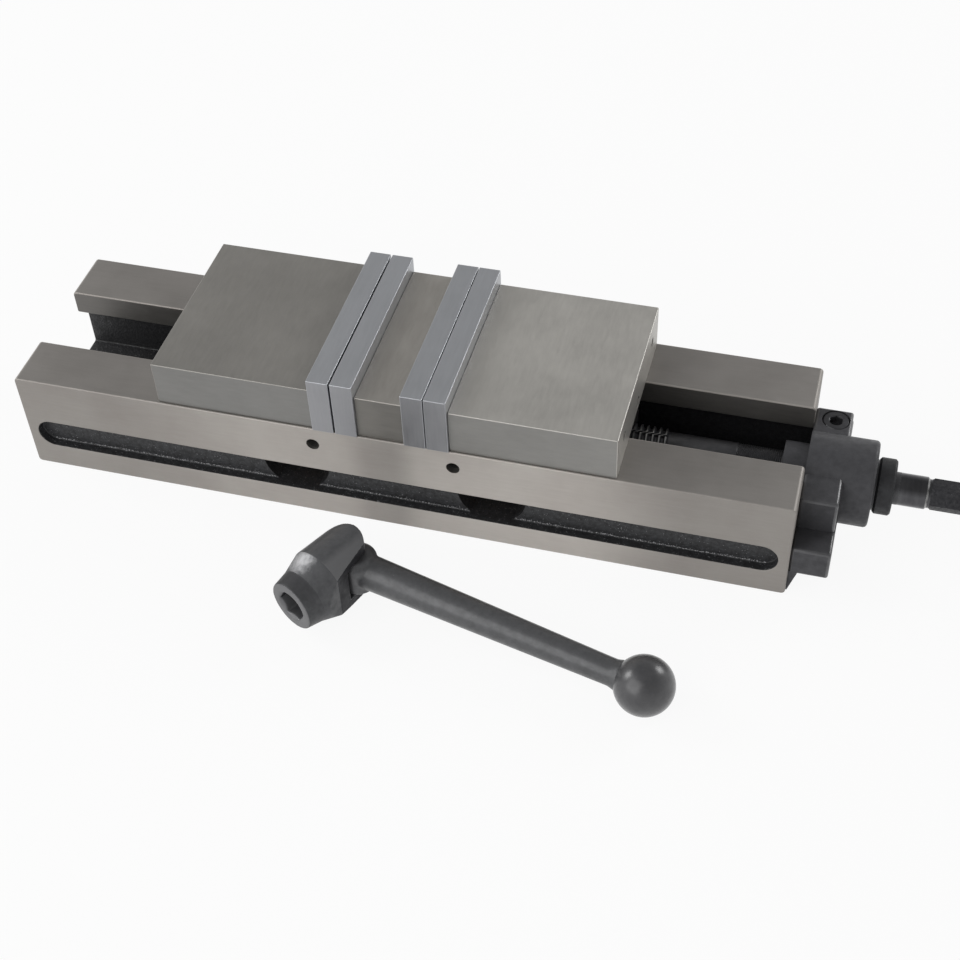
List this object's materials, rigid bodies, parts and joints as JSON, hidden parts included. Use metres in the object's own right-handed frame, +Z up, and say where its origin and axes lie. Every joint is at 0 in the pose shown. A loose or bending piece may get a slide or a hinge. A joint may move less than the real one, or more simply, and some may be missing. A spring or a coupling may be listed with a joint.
{
  "type": "double station machine vise",
  "caption": "Machine vise with a fixed centre jaw, outer jaws driven together by one screw of opposite threads, and a loose cranking handle.",
  "frame": {"origin": "centre of the bed's underside below the fixed centre jaw", "axes": "+X along the bed towards the screw's drive end, +Y to the rear (away from the loose handle), +Z up"},
  "size_m": [0.4805, 0.1963, 0.0911],
  "materials": {
    "bed_iron": "ground on the outside, rough cast in the grooves and the channel",
    "jaw_steel": "surface ground, fine grain",
    "plate_steel": "hardened and ground",
    "dark_casting": "dark grey satin over cast iron",
    "dark_steel": "dark satin",
    "screw_steel": "turned, blackened and oiled",
    "nut_bronze": "machined bronze",
    "guide_iron": "machined iron",
    "bush_bronze": "machined bronze",
    "wiper_rubber": "black, matt",
    "hard_steel": "hardened and ground",
    "handle_paint": "dark grey satin, cast and forged skin",
    "fastener_steel": "black oxide"
  },
  "bodies": {
    "bed": {"bed_casting": "bed_iron", "centre_jaw": "jaw_steel", "centre_jaw_bolts": "fastener_steel", "centre_jaw_dowels": "hard_steel", "centre_left_plate": "plate_steel", "centre_left_plate_screws": "fastener_steel", "centre_right_plate": "plate_steel", "centre_right_plate_screws": "fastener_steel", "end_housing": "dark_casting", "housing_screws": "fastener_steel", "pinch_screw": "fastener_steel", "screw_bush": "bush_bronze", "screw_wiper": "wiper_rubber", "handle_hub": "handle_paint", "handle_pin": "handle_paint"},
    "left_jaw": {"left_jaw": "jaw_steel", "left_jaw_plate": "plate_steel", "left_plate_screws": "fastener_steel", "left_nut": "nut_bronze", "left_nut_screws": "fastener_steel", "left_guide_block": "guide_iron", "left_guide_screws": "fastener_steel", "left_jaw_set_screw": "fastener_steel"},
    "right_jaw": {"right_jaw": "jaw_steel", "right_jaw_plate": "plate_steel", "right_plate_screws": "fastener_steel", "right_nut": "nut_bronze", "right_nut_screws": "fastener_steel", "right_guide_block": "guide_iron", "right_guide_screws": "fastener_steel", "right_jaw_set_screw": "fastener_steel"},
    "screw": {"lead_screw": "screw_steel", "inner_thrust_washer": "hard_steel", "outer_thrust_washer": "hard_steel", "lock_collar": "dark_steel", "collar_set_screw": "fastener_steel"},
    "handle_arm": {"handle_arm": "handle_paint", "handle_ball": "handle_paint"}
  },
  "joints": [
    {"name": "screw_turn", "type": "hinge", "parent": "bed", "child": "screw", "pos_m": [0.2, 0, 0.03375], "axis": [1, 0, 0], "range_deg": [-34.1, 7937.1]},
    {"name": "left_jaw_slide", "type": "slide", "parent": "bed", "child": "left_jaw", "axis": [-1, 0, 0], "range_m": [-0.0003, 0.07]},
    {"name": "right_jaw_slide", "type": "slide", "parent": "bed", "child": "right_jaw", "axis": [1, 0, 0], "range_m": [-0.0003, 0.07]},
    {"name": "handle_arm_swing", "type": "hinge", "parent": "bed", "child": "handle_arm", "pos_m": [-0.0002, -0.09725, 0.0184], "axis": [0, 0, 1], "range_deg": [-30, 22]}
  ],
  "couplings": [
    {"joint": "screw_turn", "follows": "left_jaw_slide", "rad_per_m": 1979},
    {"joint": "right_jaw_slide", "follows": "left_jaw_slide", "ratio": 1}
  ]
}
